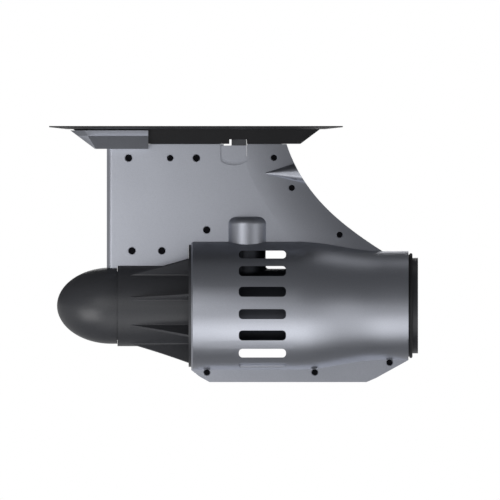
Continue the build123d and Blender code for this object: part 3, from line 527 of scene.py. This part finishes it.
class FIN_OT_latch(bpy.types.Operator):
    """Finishes the latch's catch and its spring"""
    bl_idname = "power_fin.latch"
    bl_label = "Finish the latch"

    def execute(self, context):
        dress(latch_acetal(context.scene.power_fin), "latch_block")
        dress(spring_steel(), "latch_spring")
        return {"FINISHED"}


class FIN_OT_fastenings(bpy.types.Operator):
    """Makes the housing screws and finishes the inserts and the rail"""
    bl_idname = "power_fin.fastenings"
    bl_label = "Make the fastenings"

    def execute(self, context):
        settings = context.scene.power_fin
        steel = black_oxide_steel()
        tree = screw_tree()
        screw_set("housing_screws_long", LONG_SCREW_HEAD_SHARE, settings, tree, steel)
        screw_set("housing_screws_short", SHORT_SCREW_HEAD_SHARE, settings, tree, steel)
        dress(turned_brass(), "screw_inserts")
        dress(extruded_aluminium(), "slide_rail")
        return {"FINISHED"}


class FIN_OT_seals(bpy.types.Operator):
    """Finishes the seals, the cable gland and the motor lead"""
    bl_idname = "power_fin.seals"
    bl_label = "Finish the seals and the lead"

    def execute(self, context):
        dress(nitrile_seal(), "cable_gland", "neck_seal", "nose_seal", "cap_seal", "shaft_seal",
              "nozzle_seal")
        dress(silicone_jacket(), "power_lead")
        dress(turned_brass(), "lead_splice")
        return {"FINISHED"}


class FIN_OT_motor(bpy.types.Operator):
    """Finishes the motor's can, caps, bearings, windings, magnets and controller"""
    bl_idname = "power_fin.motor"
    bl_label = "Finish the motor"

    def execute(self, context):
        dress(hard_anodised_aluminium(), "motor_can", "front_cap", "end_cap")
        dress(bearing_steel(), "front_bearing", "rear_bearing")
        dress(laminated_steel(), "stator_core", "rotor_core")
        dress(enamelled_copper(), "stator_windings")
        dress(nickel_plate(), "rotor_magnets")
        dress(solder_mask(), "control_board")
        dress(capacitor_sleeve(), "board_capacitors")
        return {"FINISHED"}


class FIN_OT_pump(bpy.types.Operator):
    """Finishes the shaft, the impeller and its nut and pin"""
    bl_idname = "power_fin.pump"
    bl_label = "Finish the pump"

    def execute(self, context):
        dress(pump_nylon(), "impeller")
        dress(ground_stainless(), "drive_shaft", "drive_pin", "impeller_nut")
        return {"FINISHED"}


# Stage

# Half the floor's width, the camera's distance and how far the camera sees, in metres
FLOOR_REACH = 12.0
CAMERA_DISTANCE = 1.5
CAMERA_SIGHT = 20.0

# The share of the paper that shows as plain white
PAPER_GLOW = 0.80

# The wall that gloss sees, by the upward part of a ray's direction: top and foot, each with its fade
WALL_TOP = 0.03
WALL_TOP_FADE = 0.06
WALL_FOOT = -0.45
WALL_FOOT_FADE = 0.55

# The wall's share of full white, and the strength of the dim light elsewhere
WALL_GLOW = 0.43
AMBIENT = 0.10

# Softboxes: name, place and aim in metres, width, watts
LAMPS = (
    ("Low key", (-0.02, -0.30, -0.60), (0.03, 0.0, -0.15), 0.40, 0.31),
    ("Low aft panel", (0.10, -0.45, -0.55), (0.05, 0.0, -0.18), 0.40, 0.29),
    ("Camera panel", (-0.12, -0.50, -0.10), (0.0, 0.0, -0.12), 0.30, 0.21),
    ("Front panel", (-0.22, -0.40, -0.10), (-0.05, 0.0, -0.08), 0.15, 0.08),
    ("Nose panel", (-0.36, -0.36, -0.41), (-0.12, 0.0, -0.18), 0.28, 1.00),
    ("Keel panel", (0.14, -0.26, -0.48), (0.12, 0.0, -0.24), 0.28, 0.12),
    ("Aft panel", (0.45, -0.35, -0.25), (0.10, 0.0, -0.15), 0.30, 0.22),
    ("Rear top", (0.33, 0.10, 0.49), (0.10, 0.0, -0.15), 0.30, 0.12),
    ("Starboard panel", (0.02, 0.65, 0.02), (0.03, 0.0, -0.15), 0.40, 0.80),
)


def floor_paper(settings):
    """Seamless studio paper: matt and pale. Part of it shows as plain white, the rest takes the shadow."""
    material, tree, shader, place = blank("Studio paper, matt", Roughness=0.9)
    fibre = add(tree, "ShaderNodeTexNoise", {"Scale": per_mm(60), "Detail": 2.0}, {"Vector": place})
    tone = add(tree, "ShaderNodeMapRange", {"To Min": 0.99, "To Max": 1.01}, {"Value": fibre.outputs["Fac"]})
    shade = add(tree, "ShaderNodeHueSaturation", {"Color": settings.floor_colour},
                {"Value": tone.outputs["Result"]})
    tree.links.new(shade.outputs["Color"], shader.inputs["Base Color"])
    rays = add(tree, "ShaderNodeLightPath").outputs
    shown = add(tree, "ShaderNodeMath", links={0: rays["Is Camera Ray"], 1: rays["Is Transmission Ray"]},
                operation="MAXIMUM").outputs[0]
    share = add(tree, "ShaderNodeMath", {1: PAPER_GLOW}, {0: shown}, operation="MULTIPLY").outputs[0]
    white = add(tree, "ShaderNodeEmission", {"Color": (1, 1, 1, 1), "Strength": 1.0})
    mixed = add(tree, "ShaderNodeMixShader", links={
        0: share, 1: shader.outputs["BSDF"], 2: white.outputs["Emission"]})
    tree.links.new(mixed.outputs["Shader"], tree.nodes["Material Output"].inputs["Surface"])
    return material


def studio_world():
    """A white room to the camera; gloss sees a grey wall between its foot and top, and a dim rest."""
    world = bpy.data.worlds.new("Studio")
    bpy.context.scene.world = world
    world.use_nodes = True
    tree = world.node_tree
    tree.nodes.clear()
    rays = add(tree, "ShaderNodeLightPath").outputs
    way = add(tree, "ShaderNodeTexCoord").outputs["Generated"]
    height = add(tree, "ShaderNodeSeparateXYZ", links={"Vector": way}).outputs["Z"]
    below_top = add(tree, "ShaderNodeMapRange",
                    {"From Min": WALL_TOP, "From Max": WALL_TOP + WALL_TOP_FADE,
                     "To Min": WALL_GLOW, "To Max": 0.0}, {"Value": height}).outputs["Result"]
    above_foot = add(tree, "ShaderNodeMapRange",
                     {"From Min": WALL_FOOT - WALL_FOOT_FADE, "From Max": WALL_FOOT},
                     {"Value": height}).outputs["Result"]
    wall = add(tree, "ShaderNodeMath", links={0: below_top, 1: above_foot}, operation="MULTIPLY").outputs[0]
    reflected = add(tree, "ShaderNodeMath", links={
        0: rays["Is Glossy Ray"], 1: rays["Is Transmission Ray"]}, operation="MAXIMUM").outputs[0]
    on_wall = add(tree, "ShaderNodeMath", links={0: reflected, 1: wall}, operation="MULTIPLY").outputs[0]
    share = add(tree, "ShaderNodeMath", links={0: rays["Is Camera Ray"], 1: on_wall},
                operation="MAXIMUM").outputs[0]
    dim = add(tree, "ShaderNodeBackground", {"Color": linear("F2F4F8"), "Strength": AMBIENT})
    white = add(tree, "ShaderNodeBackground", {"Color": (1, 1, 1, 1), "Strength": 1.0})
    mixed = add(tree, "ShaderNodeMixShader", links={
        0: share, 1: dim.outputs["Background"], 2: white.outputs["Background"]})
    add(tree, "ShaderNodeOutputWorld", links={"Surface": mixed.outputs["Shader"]})


def soft_lamp(name, place, aim, width, watts):
    """A square softbox that faces a point."""
    lamp = bpy.data.lights.new(name, "AREA")
    lamp.shape = "SQUARE"
    lamp.size = width
    lamp.energy = watts
    holder = bpy.data.objects.new(name, lamp)
    bpy.context.scene.collection.objects.link(holder)
    holder.location = place
    holder.rotation_euler = (Vector(aim) - Vector(place)).to_track_quat("-Z", "Y").to_euler()
    holder.visible_camera = False


def studio_camera():
    """An orthographic camera square on the port side, at the photograph's scale."""
    lens = bpy.data.cameras.new("Port side")
    lens.type = "ORTHO"
    lens.ortho_scale = VIEW_WIDTH
    lens.clip_end = CAMERA_SIGHT
    holder = bpy.data.objects.new("Port side", lens)
    bpy.context.scene.collection.objects.link(holder)
    holder.location = (VIEW_CENTRE[0], -CAMERA_DISTANCE, VIEW_CENTRE[1])
    holder.rotation_euler = (math.pi / 2, 0, 0)
    bpy.context.scene.camera = holder


class FIN_OT_stage(bpy.types.Operator):
    """Lays the pale floor and sets the lamps, the white room and the camera"""
    bl_idname = "power_fin.stage"
    bl_label = "Set the stage"

    def execute(self, context):
        sheet = bpy.data.meshes.new("studio_floor")
        corners = [(x * FLOOR_REACH, y * FLOOR_REACH, FLOOR_LEVEL)
                   for x, y in ((-1, -1), (1, -1), (1, 1), (-1, 1))]
        sheet.from_pydata(corners, [], [(0, 1, 2, 3)])
        sheet.materials.append(floor_paper(context.scene.power_fin))
        floor = bpy.data.objects.new("studio_floor", sheet)
        context.scene.collection.objects.link(floor)
        # Some softboxes stand below the floor's level, so it neither blocks nor hides their light
        floor.visible_shadow = False
        floor.visible_glossy = False
        for lamp in LAMPS:
            soft_lamp(*lamp)
        studio_world()
        studio_camera()
        context.scene.view_settings.view_transform = "Standard"
        return {"FINISHED"}


class VIEW3D_PT_power_fin(bpy.types.Panel):
    """The fin's settings and steps in the sidebar"""
    bl_label = "Electric power fin"
    bl_idname = "VIEW3D_PT_power_fin"
    bl_space_type = "VIEW_3D"
    bl_region_type = "UI"
    bl_category = "Power fin"

    def draw(self, context):
        settings = context.scene.power_fin
        for name in PowerFinSettings.__annotations__:
            self.layout.prop(settings, name)
        for step in STEPS:
            self.layout.operator(step.bl_idname)


STEPS = (FIN_OT_shell, FIN_OT_black_parts, FIN_OT_latch, FIN_OT_fastenings, FIN_OT_seals, FIN_OT_motor,
         FIN_OT_pump, FIN_OT_stage)
CLASSES = (PowerFinSettings, *STEPS, VIEW3D_PT_power_fin)


def register():
    for item in CLASSES:
        bpy.utils.register_class(item)
    bpy.types.Scene.power_fin = PointerProperty(type=PowerFinSettings)


def unregister():
    del bpy.types.Scene.power_fin
    for item in reversed(CLASSES):
        bpy.utils.unregister_class(item)


def main():
    """Finishes every piece and sets the stage."""
    register()
    bpy.ops.power_fin.shell()
    bpy.ops.power_fin.black_parts()
    bpy.ops.power_fin.latch()
    bpy.ops.power_fin.fastenings()
    bpy.ops.power_fin.seals()
    bpy.ops.power_fin.motor()
    bpy.ops.power_fin.pump()
    bpy.ops.power_fin.stage()


if __name__ == "__main__":
    main()
